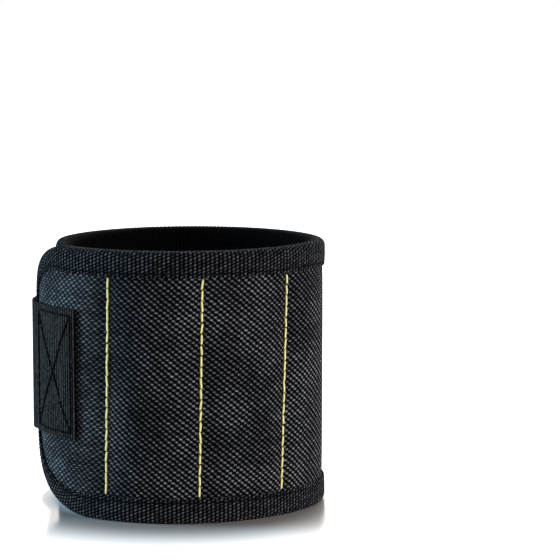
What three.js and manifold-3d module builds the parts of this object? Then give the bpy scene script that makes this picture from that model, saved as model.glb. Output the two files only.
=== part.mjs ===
// A padded wristband with magnets sewn inside, closed to a loop and standing on its lower edge.
// Millimetres, +Z up, the wearer's arm along Z. The band is drawn as a flat pattern, with a distance along
// it from the flap's free end, a height and a depth outwards from the shell's skin, and wrapped round a plan.
import * as THREE from "three";
import { mergeVertices } from "three/addons/utils/BufferGeometryUtils.js";
import Module from "manifold-3d";

const wasm = await Module();
wasm.setup();

// Plan of the loop, measured at the shell's skin
const sideRadius = 33;
const frontRadius = 51;
const frontBlend = THREE.MathUtils.degToRad(34);
const backBlend = THREE.MathUtils.degToRad(21);
const tuckLength = 22;

// Band and its layers
const bandHeight = 89;
const shellThickness = 0.8;
const foamThickness = 2.2;
const liningThickness = 1;
const edgeSink = 0.2;
const clothGap = 0.3;
const layerRelief = 0.4;

// Binding tape folded over the edges
const tapeThickness = 0.55;
const tapeLeg = 8.4;
const tapeEndLeg = 4;
const tapeFoldChamfer = 0.7;
const flapTopRadius = 26;
const flapBottomRadius = 38;
const innerEndRadius = 26;

// Stitched lines across the band, and the two of them that it folds at
const firstLine = 45.5;
const linePitch = 31.1;
const lineCount = 6;
const flapFoldLine = 1;
const backFoldLine = 4;
const foldOffset = 1.2;
const foldGap = 0.6;
const channelWidth = 5;
const channelDepth = 1.4;
const threadRadius = 0.4;
const threadNeck = 0.25;
const stitchLength = 3.6;

// Magnets in the foam, one column between each two lines
const magnetRows = 3;
const magnetWidth = 10;
const magnetHeight = 20;
const magnetThickness = 2;
const magnetCorner = 1;
const magnetSpacing = 3.3;
const windowClearance = 0.6;

// Strap, with its root sewn on the flap and its tail closed over the back
const strapWidth = 43;
const strapThickness = 1.1;
const strapRise = 2.9;
const rootLength = 33.8;
const rootStep = 4;
const hemLength = 6;
const hemThickness = 0.7;
const hemRamp = 3;
const tailLength = 30;
const tipLength = 42;
const tipCorner = 6;
const gripLength = 7;

// Hook and loop closure
const hookThickness = 1.2;
const hookMargin = 1.5;
const loopThickness = 1.2;
const loopWidth = 50;
const loopMargin = 2;

// Flat seams that hold the strap's root and the hook patch
const seamMargin = 2;
const rootSeamStart = 12;
const seamWidth = 0.7;
const seamHeight = 0.4;
const seamLap = 0.02;

// Facets
const facetStep = 5;
const shortestFacet = 0.25;
const cornerSteps = 10;
const legSteps = 2;
const threadSides = 6;
const magnetCornerSteps = 3;

// Depths outwards from the shell's skin
const shellInner = -shellThickness;
const foamOuter = shellInner - clothGap;
const foamInner = foamOuter - foamThickness;
const liningOuter = foamInner - clothGap;
const liningInner = liningOuter - liningThickness;
const tapeOuterSeat = clothGap;
const tapeOuter = tapeOuterSeat + tapeThickness;
const tapeInnerSeat = liningInner - clothGap;
const tapeInner = tapeInnerSeat - tapeThickness;
const layerPitch = tapeOuter - tapeInner + layerRelief;
const edgeInset = tapeThickness + clothGap;

// Plan: tangent arcs walked anticlockwise, from the flap's free end at the left of the loop. The back half
// is narrower by the pitch of the layers, so that its end passes inside the flap.
const frontReach = (frontRadius - sideRadius) * Math.cos(frontBlend);
const backRadius = sideRadius + (frontReach - layerPitch / 2) / Math.cos(backBlend);
const loopArcs = [
  { radius: sideRadius, sweep: frontBlend },
  { radius: frontRadius, sweep: Math.PI - 2 * frontBlend },
  { radius: sideRadius, sweep: frontBlend },
  { radius: sideRadius, sweep: backBlend },
  { radius: backRadius, sweep: Math.PI - 2 * backBlend },
  { radius: sideRadius, sweep: backBlend },
];
const tuckArcs = [
  { radius: sideRadius - layerPitch, sweep: frontBlend },
  { radius: frontRadius - layerPitch, sweep: frontBlend },
];

function walkArcs(arcs, start, startHeading) {
  let from = 0;
  let heading = startHeading;
  let centre = start.clone().addScaledVector(outwardOf(heading), -arcs[0].radius);
  return arcs.map(({ radius, sweep }, place) => {
    const leg = { from, radius, heading, centre: centre.clone() };
    from += radius * sweep;
    heading += sweep;
    const next = arcs[place + 1] ?? { radius };
    centre = centre.clone().addScaledVector(outwardOf(heading), radius - next.radius);
    return leg;
  });
}

function outwardOf(heading) {
  return new THREE.Vector2(Math.sin(heading), -Math.cos(heading));
}

const loopStart = new THREE.Vector2(-sideRadius - frontReach, 0);
const legs = walkArcs([...loopArcs, ...tuckArcs], loopStart, -Math.PI / 2);
const leftEnd = loopArcs.reduce((sum, { radius, sweep }) => sum + radius * sweep, 0);
const bandLength = leftEnd + tuckLength;

// The point of the wrapped band at a place of the flat pattern
function wrapped(along, height, depth) {
  const leg = legs.findLast(({ from }) => along >= from) ?? legs[0];
  const outward = outwardOf(leg.heading + (along - leg.from) / leg.radius);
  const point = leg.centre.clone().addScaledVector(outward, leg.radius + depth);
  return new THREE.Vector3(point.x, point.y, height);
}

// Lines, folds and columns along the band
const lines = Array.from({ length: lineCount }, (_, place) => firstLine + place * linePitch);
const columns = lines.slice(1).map((line) => line - linePitch / 2);
const flapFold = lines[flapFoldLine - 1] - foldOffset;
const backFold = lines[backFoldLine - 1] + foldOffset;
const flapSpan = [0, flapFold - foldGap / 2];
const frontSpan = [flapFold + foldGap / 2, backFold - foldGap / 2];
const backSpan = [backFold + foldGap / 2, bandLength];
const windowWidth = magnetWidth + 2 * windowClearance;
const windowHeight = magnetHeight + 2 * windowClearance;

function inSpan(along, [from, to]) {
  return along >= from && along <= to;
}

function channelSink(along) {
  const nearest = Math.min(...lines.map((line) => Math.abs(along - line)));
  return channelDepth * Math.max(0, 1 - (2 * nearest) / channelWidth);
}

function cornerDrop(distance, radius) {
  const short = Math.max(0, radius - distance);
  return radius - Math.sqrt(Math.max(0, radius * radius - short * short));
}

// Lower and upper edge of the band, inset from its outline
function edgesAt(along, inset) {
  const fromFlapEnd = along - inset;
  const fromInnerEnd = bandLength - along - inset;
  const innerDrop = cornerDrop(fromInnerEnd, innerEndRadius - inset);
  const lowerDrop = Math.max(cornerDrop(fromFlapEnd, flapBottomRadius - inset), innerDrop);
  const upperDrop = Math.max(cornerDrop(fromFlapEnd, flapTopRadius - inset), innerDrop);
  return { lower: inset + lowerDrop, upper: bandHeight - inset - upperDrop };
}

function cornerMarks(radius) {
  return Array.from({ length: cornerSteps }, (_, step) => {
    const turn = (Math.PI / 2) * (step / cornerSteps);
    return radius * (1 - Math.cos(turn));
  });
}

// Places where the wrapped layers bend: every layer uses the same ones, so they stay parallel,
// and the band is flat across each magnet window.
function stationsBetween(from, to) {
  const steps = Math.ceil((to - from) / facetStep);
  const marks = Array.from({ length: steps }, (_, step) => from + ((to - from) * step) / steps);
  marks.push(...lines.flatMap((line) => [line - channelWidth / 2, line, line + channelWidth / 2]));
  marks.push(...cornerMarks(flapTopRadius), ...cornerMarks(flapBottomRadius));
  marks.push(...cornerMarks(innerEndRadius).map((mark) => bandLength - mark));
  const bends = marks.filter((mark) => columns.every((column) => Math.abs(mark - column) > windowWidth / 2));
  bends.push(...columns.flatMap((column) => [column - windowWidth / 2, column + windowWidth / 2]));
  const inside = bends.filter((mark) => mark > from && mark < to).sort((a, b) => a - b);
  const spaced = inside.filter((mark, place) => {
    const before = inside[place - 1] ?? from;
    return mark - before > shortestFacet && to - mark > shortestFacet;
  });
  return [from, ...spaced, to];
}

function closedGeometry(positions, index) {
  const geometry = new THREE.BufferGeometry();
  geometry.setAttribute("position", new THREE.Float32BufferAttribute(positions, 3));
  geometry.setIndex(enclosedVolume(positions, index) > 0 ? index : index.toReversed());
  geometry.computeVertexNormals();
  return geometry;
}

function enclosedVolume(positions, index) {
  const corner = (place) => new THREE.Vector3().fromArray(positions, 3 * index[place]);
  let volume = 0;
  for (let place = 0; place < index.length; place += 3) {
    volume += corner(place).dot(corner(place + 1).cross(corner(place + 2))) / 6;
  }
  return volume;
}

// A solid through rings of points, closed at both ends by the section's outline
function loft(rings, section) {
  const size = section.length;
  const index = [];
  for (let ring = 0; ring + 1 < rings.length; ring += 1) {
    for (let corner = 0; corner < size; corner += 1) {
      const near = ring * size + corner;
      const nearNext = ring * size + ((corner + 1) % size);
      index.push(near, nearNext, nearNext + size, near, nearNext + size, near + size);
    }
  }
  const last = (rings.length - 1) * size;
  for (const [a, b, c] of THREE.ShapeUtils.triangulateShape(section, [])) {
    index.push(c, b, a, last + a, last + b, last + c);
  }
  return closedGeometry(rings.flat().flatMap((point) => point.toArray()), index);
}

function outline(points) {
  return points.map(([x, y]) => new THREE.Vector2(x, y));
}

const sheetSection = outline([[0, 0], [1, 0], [1, 1], [0, 1]]);

// A sheet of cloth or foam, from its edges and its inner and outer depth along the flat pattern
function sheet(stations, edges, inner, outer) {
  const rings = stations.map((along) => {
    const { lower, upper } = edges(along);
    return [
      wrapped(along, lower, inner(along)),
      wrapped(along, upper, inner(along)),
      wrapped(along, upper, outer(along)),
      wrapped(along, lower, outer(along)),
    ];
  });
  return loft(rings, sheetSection);
}

function layerStations([from, to]) {
  const start = from === 0 ? edgeInset : from;
  const end = to === bandLength ? bandLength - edgeInset : to;
  return stationsBetween(start, end);
}

function layer(span, inner, outer) {
  return sheet(layerStations(span), (along) => edgesAt(along, edgeInset), inner, outer);
}

const shellSection = outline([[0, 0], [3, 0], [3, 1], [2, 2], [1, 2], [0, 1]]);

// The shell, drawn in along its edges where the binding tape presses on it
function shellLayer(span) {
  const shoulder = tapeLeg + clothGap - edgeInset;
  const rings = layerStations(span).map((along) => {
    const { lower, upper } = edgesAt(along, edgeInset);
    const skin = -channelSink(along);
    return [
      wrapped(along, lower, skin - shellThickness),
      wrapped(along, upper, skin - shellThickness),
      wrapped(along, upper, skin - edgeSink),
      wrapped(along, upper - shoulder, skin),
      wrapped(along, lower + shoulder, skin),
      wrapped(along, lower, skin - edgeSink),
    ];
  });
  return loft(rings, shellSection);
}

function solidOf(geometry) {
  const bare = geometry.clone();
  bare.deleteAttribute("normal");
  bare.deleteAttribute("uv");
  const merged = mergeVertices(bare);
  const vertProperties = new Float32Array(merged.getAttribute("position").array);
  const triVerts = new Uint32Array(merged.getIndex().array);
  return new wasm.Manifold(new wasm.Mesh({ numProp: 3, vertProperties, triVerts }));
}

function geometryOf(solid) {
  const { vertProperties, triVerts } = solid.getMesh();
  return closedGeometry(Array.from(vertProperties), Array.from(triVerts));
}

function cut(body, tools) {
  return geometryOf(tools.reduce((solid, tool) => solid.subtract(solidOf(tool)), solidOf(body)));
}

function join(bodies) {
  return geometryOf(bodies.map(solidOf).reduce((solid, body) => solid.add(body)));
}

function fabric(color, roughness = 0.9) {
  return new THREE.MeshStandardMaterial({ color, roughness, metalness: 0 });
}

function piece(name, geometry, material) {
  const mesh = new THREE.Mesh(geometry, material);
  mesh.name = name;
  return mesh;
}

// Shell, foam and lining of one part of the band
const rowPitch = magnetHeight + magnetSpacing;
const rowHeights = Array.from(
  { length: magnetRows },
  (_, row) => bandHeight / 2 + (row - (magnetRows - 1) / 2) * rowPitch,
);

function magnetWindow(column, height) {
  const stations = [column - windowWidth / 2, column + windowWidth / 2];
  const edges = () => ({ lower: height - windowHeight / 2, upper: height + windowHeight / 2 });
  return sheet(stations, edges, () => foamInner - foamThickness, () => foamOuter + foamThickness);
}

function panel(name, span) {
  const group = new THREE.Group();
  const pad = layer(span, () => foamInner, (along) => foamOuter - channelSink(along));
  const own = columns.filter((column) => inSpan(column, span));
  const windows = own.flatMap((column) => rowHeights.map((height) => magnetWindow(column, height)));
  const lining = layer(span, () => liningInner, () => liningOuter);
  group.add(piece(`shell_${name}`, shellLayer(span), fabric(0x1b1c20, 0.8)));
  group.add(piece(`foam_${name}`, cut(pad, windows), fabric(0x2a2a2c)));
  group.add(piece(`lining_${name}`, lining, fabric(0x141416)));
  return group;
}

// Magnets, plain blocks with rounded corners, flat against the shell
function magnetBlock() {
  const shape = new THREE.Shape();
  const x = magnetWidth / 2 - magnetCorner;
  const y = magnetHeight / 2 - magnetCorner;
  shape.absarc(x, y, magnetCorner, 0, Math.PI / 2);
  shape.absarc(-x, y, magnetCorner, Math.PI / 2, Math.PI);
  shape.absarc(-x, -y, magnetCorner, Math.PI, 1.5 * Math.PI);
  shape.absarc(x, -y, magnetCorner, 1.5 * Math.PI, 2 * Math.PI);
  const options = { depth: magnetThickness, bevelEnabled: false, curveSegments: magnetCornerSteps };
  const block = new THREE.ExtrudeGeometry(shape, options);
  return block.translate(0, 0, -magnetThickness / 2).rotateX(Math.PI / 2);
}

function magnetColumn(number, column) {
  const depth = (shellInner + liningOuter) / 2;
  const left = wrapped(column - windowWidth / 2, 0, depth);
  const right = wrapped(column + windowWidth / 2, 0, depth);
  const group = new THREE.Group();
  group.position.copy(left).lerp(right, 0.5);
  group.rotation.z = Math.atan2(right.y - left.y, right.x - left.x);
  rowHeights.forEach((height, row) => {
    const plated = new THREE.MeshStandardMaterial({ color: 0xc4c6c8, roughness: 0.25, metalness: 1 });
    const magnet = piece(`magnet_${number}_${row + 1}`, magnetBlock(), plated);
    magnet.position.z = height;
    group.add(magnet);
  });
  return group;
}

// Binding tape, a folded section swept round the edge of the flat pattern
const legStops = Array.from({ length: legSteps - 1 }, (_, step) => tapeLeg * (1 - (step + 1) / legSteps));
const tapeSection = outline([
  [tapeFoldChamfer, tapeOuter],
  [0, tapeOuter - tapeFoldChamfer],
  [0, tapeInner + tapeFoldChamfer],
  [tapeFoldChamfer, tapeInner],
  ...legStops.toReversed().map((stop) => [stop, tapeInner]),
  [tapeLeg, tapeInner],
  [tapeLeg, tapeInnerSeat],
  ...legStops.map((stop) => [stop, tapeInnerSeat]),
  [tapeThickness, tapeInnerSeat],
  [tapeThickness, tapeOuterSeat],
  ...legStops.toReversed().map((stop) => [stop, tapeOuterSeat]),
  [tapeLeg, tapeOuterSeat],
  [tapeLeg, tapeOuter],
  ...legStops.map((stop) => [stop, tapeOuter]),
]);

// How far a point of the section reaches inwards where the tape's legs have another length
function legReach(x, leg) {
  const past = Math.max(0, x - tapeFoldChamfer);
  return x - past + (past * (leg - tapeFoldChamfer)) / (tapeLeg - tapeFoldChamfer);
}

function tapeAlong(stops) {
  const rings = stops.map(({ along, height, inward, leg = tapeLeg }) =>
    tapeSection.map(({ x, y }) => {
      const spot = inward.clone().multiplyScalar(legReach(x, leg));
      return wrapped(along + spot.x, height + spot.y, y);
    }),
  );
  return loft(rings, tapeSection);
}

function straightTape([from, to], height) {
  const inward = new THREE.Vector2(0, height > 0 ? -1 : 1);
  return stationsBetween(from, to).map((along) => ({ along, height, inward }));
}

// Stops round one corner of a free end, with the legs of the tape drawn in to the end's own length; ahead
// is +1 where the band runs on towards greater distances
function cornerTape(end, ahead, radius, top, endLeg) {
  const up = top ? 1 : -1;
  const centreHeight = top ? bandHeight - radius : radius;
  return Array.from({ length: cornerSteps + 1 }, (_, step) => {
    const turn = (Math.PI / 2) * (step / cornerSteps);
    const inward = new THREE.Vector2(ahead * Math.sin(turn), -up * Math.cos(turn));
    const along = end + ahead * radius * (1 - Math.sin(turn));
    const leg = THREE.MathUtils.lerp(tapeLeg, endLeg, Math.sin(turn));
    return { along, height: centreHeight + up * radius * Math.cos(turn), inward, leg };
  });
}

function flapTape() {
  const [end, fold] = flapSpan;
  const top = straightTape([flapTopRadius, fold], bandHeight).toReversed();
  const bottom = straightTape([flapBottomRadius, fold], 0);
  const topCorner = cornerTape(end, 1, flapTopRadius, true, tapeEndLeg);
  const bottomCorner = cornerTape(end, 1, flapBottomRadius, false, tapeEndLeg).toReversed();
  return tapeAlong([...top.slice(0, -1), ...topCorner, ...bottomCorner, ...bottom.slice(1)]);
}

function innerEndTape() {
  const [fold, end] = backSpan;
  const top = straightTape([fold, end - innerEndRadius], bandHeight);
  const bottom = straightTape([fold, end - innerEndRadius], 0).toReversed();
  const topCorner = cornerTape(end, -1, innerEndRadius, true, tapeLeg);
  const bottomCorner = cornerTape(end, -1, innerEndRadius, false, tapeLeg).toReversed();
  return tapeAlong([...top.slice(0, -1), ...topCorner, ...bottomCorner, ...bottom.slice(1)]);
}

// A stitched line: one thread that swells over each stitch and sinks to a neck at each needle hole
function stitchLine(line) {
  const bottom = tapeLeg + clothGap;
  const top = bandHeight - tapeLeg - clothGap;
  const stitches = Math.round((top - bottom) / stitchLength);
  const seat = clothGap - channelDepth;
  const section = Array.from({ length: threadSides }, (_, side) => {
    const turn = (2 * Math.PI * side) / threadSides;
    return new THREE.Vector2(Math.cos(turn), Math.sin(turn));
  });
  const rings = Array.from({ length: 2 * stitches + 1 }, (_, place) => {
    const radius = place % 2 ? threadRadius : threadNeck;
    const height = bottom + ((top - bottom) * place) / (2 * stitches);
    return section.map(({ x, y }) => wrapped(line + radius * x, height, seat + radius * (1 + y)));
  });
  return loft(rings, section);
}

// A flat seam along straight runs of the flat pattern, laid on a face that bends at its own stations. Each run
// is a little flatter than the one before, so that crossing runs share no face.
function seam(runs, face, stations) {
  const half = seamWidth / 2;
  return join(runs.map(([from, to], place) => {
    const low = seamLap * place;
    const high = seamHeight - low;
    const section = outline([[-half, low], [half, low], [half, high], [-half, high]]);
    const run = to.clone().sub(from);
    const across = run.clone().normalize().rotateAround(new THREE.Vector2(), Math.PI / 2);
    const bends = stations.filter((along) => along > from.x && along < to.x);
    const shares = [0, ...bends.map((along) => (along - from.x) / run.x), 1];
    const rings = shares.map((share) => {
      const spot = from.clone().addScaledVector(run, share);
      return section.map(({ x, y }) => {
        const corner = spot.clone().addScaledVector(across, x);
        return wrapped(corner.x, corner.y, face(corner.x) + clothGap + y);
      });
    });
    return loft(rings, section);
  }));
}

function frameRuns(left, right, lower, upper) {
  const half = seamWidth / 2;
  const at = (x, y) => new THREE.Vector2(x, y);
  return [
    [at(left, lower - half), at(left, upper + half)],
    [at(right, lower - half), at(right, upper + half)],
    [at(left, lower), at(right, lower)],
    [at(left, upper), at(right, upper)],
  ];
}

// Strap: the root lies on the flap and its binding, the tail comes down to the loop patch on the back
const strapMiddle = bandHeight / 2 + strapRise;
const strapEdges = () => ({ lower: strapMiddle - strapWidth / 2, upper: strapMiddle + strapWidth / 2 });
const rootOverTape = tapeOuter + clothGap;
const loopOuter = clothGap + loopThickness;
const hookInner = loopOuter + clothGap;
const tipInner = hookInner + hookThickness + clothGap;
const tailEnd = leftEnd - tailLength;
const tipEnd = tailEnd - tipLength;

function rootInner(along) {
  const { lower, upper } = strapEdges();
  const lowerCorner = cornerDrop(lower, flapBottomRadius);
  const upperCorner = cornerDrop(bandHeight - upper, flapTopRadius);
  const tapeEnd = tapeEndLeg + Math.max(lowerCorner, upperCorner) + clothGap;
  const down = THREE.MathUtils.smoothstep(along, tapeEnd, tapeEnd + rootStep);
  return THREE.MathUtils.lerp(rootOverTape, clothGap, down);
}

function rootOuter(along) {
  const hemStart = rootLength - hemLength;
  const hem = hemThickness * THREE.MathUtils.smoothstep(along, hemStart - hemRamp, hemStart);
  return rootInner(along) + strapThickness + hem;
}

function tailInner(along) {
  const down = THREE.MathUtils.smoothstep(leftEnd - along, 0, tailLength);
  return THREE.MathUtils.lerp(layerPitch + rootOverTape, tipInner, down);
}

function tailOuter(along) {
  return tailInner(along) + strapThickness;
}

function tipOuter(along) {
  const hemEnd = tipEnd + gripLength;
  const hem = hemThickness * (1 - THREE.MathUtils.smoothstep(along, hemEnd - hemRamp, hemEnd));
  return tipInner + strapThickness + hem;
}

function tipEdges(along) {
  const { lower, upper } = strapEdges();
  const drop = cornerDrop(along - tipEnd, tipCorner);
  return { lower: lower + drop, upper: upper - drop };
}

function evenStations(from, to, step) {
  const steps = Math.ceil((to - from) / step);
  return Array.from({ length: steps + 1 }, (_, place) => from + ((to - from) * place) / steps);
}

const rootStations = evenStations(foldGap / 2, rootLength, facetStep / 2);
const tailStations = evenStations(tailEnd + foldGap / 2, leftEnd - foldGap / 2, facetStep / 2);
const tipStations = [
  ...cornerMarks(tipCorner).map((mark) => tipEnd + mark),
  ...evenStations(tipEnd + tipCorner, tailEnd - foldGap / 2, facetStep / 2),
];

const hookSpan = [tipEnd + gripLength, tailEnd - foldGap / 2 - hookMargin];
const hookEdges = () => {
  const { lower, upper } = strapEdges();
  return { lower: lower + hookMargin, upper: upper - hookMargin };
};

function hookPatch() {
  const stations = evenStations(...hookSpan, facetStep / 2);
  return sheet(stations, hookEdges, () => hookInner, () => hookInner + hookThickness);
}

function loopPatch() {
  const from = lines[lineCount - 1] + channelWidth / 2 + loopMargin;
  const edges = () => ({ lower: (bandHeight - loopWidth) / 2, upper: (bandHeight + loopWidth) / 2 });
  return sheet(evenStations(from, leftEnd - loopMargin, facetStep / 2), edges, () => clothGap, () => loopOuter);
}

function rootSeam() {
  const { lower, upper } = strapEdges();
  const low = lower + seamMargin;
  const high = upper - seamMargin;
  const far = rootLength - seamMargin;
  const cross = [
    [new THREE.Vector2(rootSeamStart, low), new THREE.Vector2(far, high)],
    [new THREE.Vector2(rootSeamStart, high), new THREE.Vector2(far, low)],
  ];
  return seam([...frameRuns(rootSeamStart, far, low, high), ...cross], rootOuter, rootStations);
}

function hookSeam() {
  const { lower, upper } = hookEdges();
  const [from, to] = hookSpan;
  const runs = frameRuns(from + seamMargin, to - seamMargin, lower + seamMargin, upper - seamMargin);
  return seam(runs, tipOuter, tipStations);
}

// The assembly, with its origin at the middle of the floor under it
const wristband = new THREE.Group();
wristband.add(panel("flap", flapSpan), panel("front", frontSpan), panel("back", backSpan));
wristband.add(piece("binding_flap", flapTape(), fabric(0x101012)));
wristband.add(piece("binding_top_front", tapeAlong(straightTape(frontSpan, bandHeight)), fabric(0x101012)));
wristband.add(piece("binding_bottom_front", tapeAlong(straightTape(frontSpan, 0)), fabric(0x101012)));
wristband.add(piece("binding_back", innerEndTape(), fabric(0x101012)));
columns.forEach((column, place) => wristband.add(magnetColumn(place + 1, column)));
lines.forEach((line, place) => {
  wristband.add(piece(`stitch_line_${place + 1}`, stitchLine(line), fabric(0xe6dc86, 0.7)));
});
wristband.add(piece("strap_root", sheet(rootStations, strapEdges, rootInner, rootOuter), fabric(0x18181b)));
wristband.add(piece("strap_box_stitch", rootSeam(), fabric(0x0c0c0e, 0.7)));
wristband.add(piece("strap_tail", sheet(tailStations, strapEdges, tailInner, tailOuter), fabric(0x18181b)));
wristband.add(piece("strap_tip", sheet(tipStations, tipEdges, () => tipInner, tipOuter), fabric(0x18181b)));
wristband.add(piece("hook_patch", hookPatch(), fabric(0x0e0e10)));
wristband.add(piece("hook_stitch", hookSeam(), fabric(0x0c0c0e, 0.7)));
wristband.add(piece("loop_patch", loopPatch(), fabric(0x121214)));

const bounds = new THREE.Box3().setFromObject(wristband);
const middle = bounds.getCenter(new THREE.Vector3());
wristband.position.set(-middle.x, -middle.y, -bounds.min.z);

export default wristband;
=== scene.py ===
import bisect
import bpy
import math
import random
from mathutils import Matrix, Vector


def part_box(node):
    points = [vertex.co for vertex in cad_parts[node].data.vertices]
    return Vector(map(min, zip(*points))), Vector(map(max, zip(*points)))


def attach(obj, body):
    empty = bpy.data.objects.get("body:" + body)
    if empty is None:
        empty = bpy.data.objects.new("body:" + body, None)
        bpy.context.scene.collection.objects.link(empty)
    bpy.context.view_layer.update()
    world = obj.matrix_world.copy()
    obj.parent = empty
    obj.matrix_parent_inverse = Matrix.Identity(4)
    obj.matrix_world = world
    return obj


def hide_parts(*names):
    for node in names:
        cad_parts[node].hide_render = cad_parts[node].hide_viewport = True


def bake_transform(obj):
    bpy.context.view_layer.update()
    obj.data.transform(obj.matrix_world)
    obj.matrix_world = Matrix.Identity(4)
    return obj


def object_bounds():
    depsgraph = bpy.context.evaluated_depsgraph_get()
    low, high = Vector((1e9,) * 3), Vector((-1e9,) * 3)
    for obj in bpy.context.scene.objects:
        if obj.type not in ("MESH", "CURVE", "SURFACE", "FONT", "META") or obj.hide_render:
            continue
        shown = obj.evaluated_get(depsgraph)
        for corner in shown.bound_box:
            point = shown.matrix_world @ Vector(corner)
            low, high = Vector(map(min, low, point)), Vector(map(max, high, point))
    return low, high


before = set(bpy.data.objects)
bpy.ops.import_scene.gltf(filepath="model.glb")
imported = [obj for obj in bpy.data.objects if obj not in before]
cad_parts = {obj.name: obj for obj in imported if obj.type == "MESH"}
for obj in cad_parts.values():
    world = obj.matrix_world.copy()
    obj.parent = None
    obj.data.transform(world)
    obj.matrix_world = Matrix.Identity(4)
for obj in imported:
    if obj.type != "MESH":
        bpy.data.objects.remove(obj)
cad_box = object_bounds()

MM = 0.001

# Band. Its flat pattern runs along X from the flap's free end, up Z, and faces -Y before it is wrapped.
band_height = 89 * MM
shell_thickness = 0.8 * MM
lining_depth = 4.6 * MM
lining_thickness = 0.7 * MM
lining_swell = 0.45
foam_depth = 1.2 * MM
foam_thickness = 2 * MM
edge_inset = 0.85 * MM
edge_ease = 0.3 * MM
flap_top_radius = 26 * MM
flap_bottom_radius = 38 * MM
inner_end_radius = 26 * MM
corner_cuts = 12

# Plan of the loop at the shell's skin
side_radius = 33 * MM
front_radius = 51 * MM
front_blend = math.radians(34)
back_blend = math.radians(21)
layer_pitch = 6.7 * MM
tuck_length = 22 * MM
path_step = 1 * MM

# Stitched lines across the band
first_line = 45.5 * MM
line_pitch = 31.1 * MM
line_count = 6
lines = [first_line + place * line_pitch for place in range(line_count)]
line_lean = [lean * MM for lean in (1.7, 1.6, 3.2, 1.6, 1.2, 1.8)]
line_shift = [shift * MM for shift in (-0.7, 0.15, 0, 0.3, 0, 0)]
line_foot = 8.7 * MM
line_stitches = 20
stitch_step = (band_height - 2 * line_foot) / line_stitches
thread_radius = 0.42 * MM
thread_depth = -0.62 * MM
channel_depth = 1.2 * MM
channel_overrun = 1 * MM
left_cut = lines[2]
rear_cut = lines[5]

# Stitches, of unit length and radius: where they are cut, then each end's reach, girth and dive
stitch_sides = 8
stitch_cuts = (-0.44, -0.3, 0.3, 0.44)
stitch_ends = ((0.47, 1, 0.7, 0.8), (0.35, 0.47, 0.92, 0.25))

# How far stitches stray, in shares of their radius
line_slack = 0.6
seam_slack = 0.25

# The two lines that the band folds beside, counted from one
flap_line = 1
back_line = 4
fold_offset = 1.2 * MM
flap_fold = lines[flap_line - 1] - fold_offset
back_fold = lines[back_line - 1] + fold_offset
fold_reach = 5 * MM
fold_gap = 0.6 * MM

# Magnet windows in the foam
window_width = 11.2 * MM
window_height = 21.2 * MM
row_pitch = 23.3 * MM
foam_step = 4 * MM

# Quilting
squares_per_line = 12
squares_on_flap = 18
rows_past_line = 5
square = line_pitch / squares_per_line
sewn_margin = 0.5 * MM
quilt_cap = 0.75 * MM
quilt_pressure = 4
quilt_quality = 6
quilt_frames = 20

# Binding tape
tape_leg = 8.4 * MM
tape_end_leg = 4 * MM
tape_thickness = 0.45 * MM
tape_outer = 0.85 * MM
tape_inner = -5.45 * MM
tape_fold_radius = 2 * MM
tape_fold_step = 0.3 * MM
tape_fold_cuts = 40
tape_rib = 1.4 * MM
tape_seam = 1.4 * MM
tape_groove = 0.22 * MM
tape_groove_width = 0.6 * MM
tape_tuck = 0.7 * MM
tape_stitch = 3.2 * MM
rib_height = 0.16 * MM
rib_cuts = 4
rib_shoulder = 0.75
rib_weld = 0.02 * MM

# Strap, from the free tip to the sewn root
strap_width = 43 * MM
strap_low = 25.9 * MM
strap_thickness = 1.1 * MM
root_length = 33.8 * MM
tail_length = 30 * MM
tip_length = 42 * MM
tip_corner = 6 * MM
strap_rib = 1.1 * MM
strap_rows = 12
hem_thickness = 0.7 * MM
root_hem = 6 * MM
tip_hem = 4 * MM
hem_ramp = 3 * MM
root_over_tape = 1.15 * MM
root_on_shell = 0.3 * MM
root_step_from = 6.3 * MM
root_step = 4 * MM
tip_depth = 3.3 * MM

# Black seams
seam_radius = 0.3 * MM
box_seam_radius = 0.36 * MM
seam_margin = 2 * MM
seam_stitch = 2.9 * MM
seam_lift = 0.3
seam_sink = 0.4
box_from = 12 * MM

# Hook tape. Each bend of a hook gives its step along and up in millimetres, and its turn in degrees.
hook_margin = 1.5 * MM
hook_depth = 3 * MM
hook_base = 0.5 * MM
hook_grid = (24, 12)
hook_pitch = 1.45 * MM
hook_inset = 0.75
hook_corners = 5
hook_radius = 0.14 * MM
hook_stem = 0.25 * MM
hook_lift = 0.1 * MM
hook_taper = 0.9
hook_bends = ((0.02, 0.14, 15), (0.1, 0.12, 35), (0.16, 0.0, 50), (0.1, -0.12, 40))
grip_length = 7 * MM

# Loop tape. The pile's tilts are ranges of turn about each axis.
loop_from = rear_cut + 4.5 * MM
loop_margin = 2 * MM
loop_width = 50 * MM
loop_depth = 0.3 * MM
loop_base = 0.6 * MM
loop_grid = (40, 16)
loop_pitch = 2.1 * MM
loop_radius = 0.55 * MM
loop_sides = 10
strand_radius = 0.09 * MM
strand_sides = 4
pile_lift = 0.05 * MM
pile_sizes = (0.7, 1.15)
pile_tilts = ((0.9, 2.2), (0, math.pi), (-0.6, 0.6))
pile_stray = 0.45 * loop_pitch

# Largest angle, in degrees, between faces that are shaded as one
cloth_angle = 40
tape_angle = 50
thread_angle = 60

# Smallest angle, in degrees, at an edge that is eased
foam_ease_angle = 60
strap_ease_angle = 70

chance = random.Random(7)

# Camera at the photograph's viewing angle
camera_place = (18.77 * MM, -812.62 * MM, 178.9 * MM)
camera_pitch = math.radians(7.316)
camera_yaw = math.radians(1.096)
camera_lens = 155.25
sensor_width = 36


def make_camera():
    data = bpy.data.cameras.new("camera")
    data.lens = camera_lens
    data.sensor_width = sensor_width
    camera = bpy.data.objects.new("camera", data)
    camera.location = camera_place
    camera.rotation_euler = (math.pi / 2 - camera_pitch, 0, -camera_yaw)
    bpy.context.scene.collection.objects.link(camera)
    bpy.context.scene.camera = camera


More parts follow.
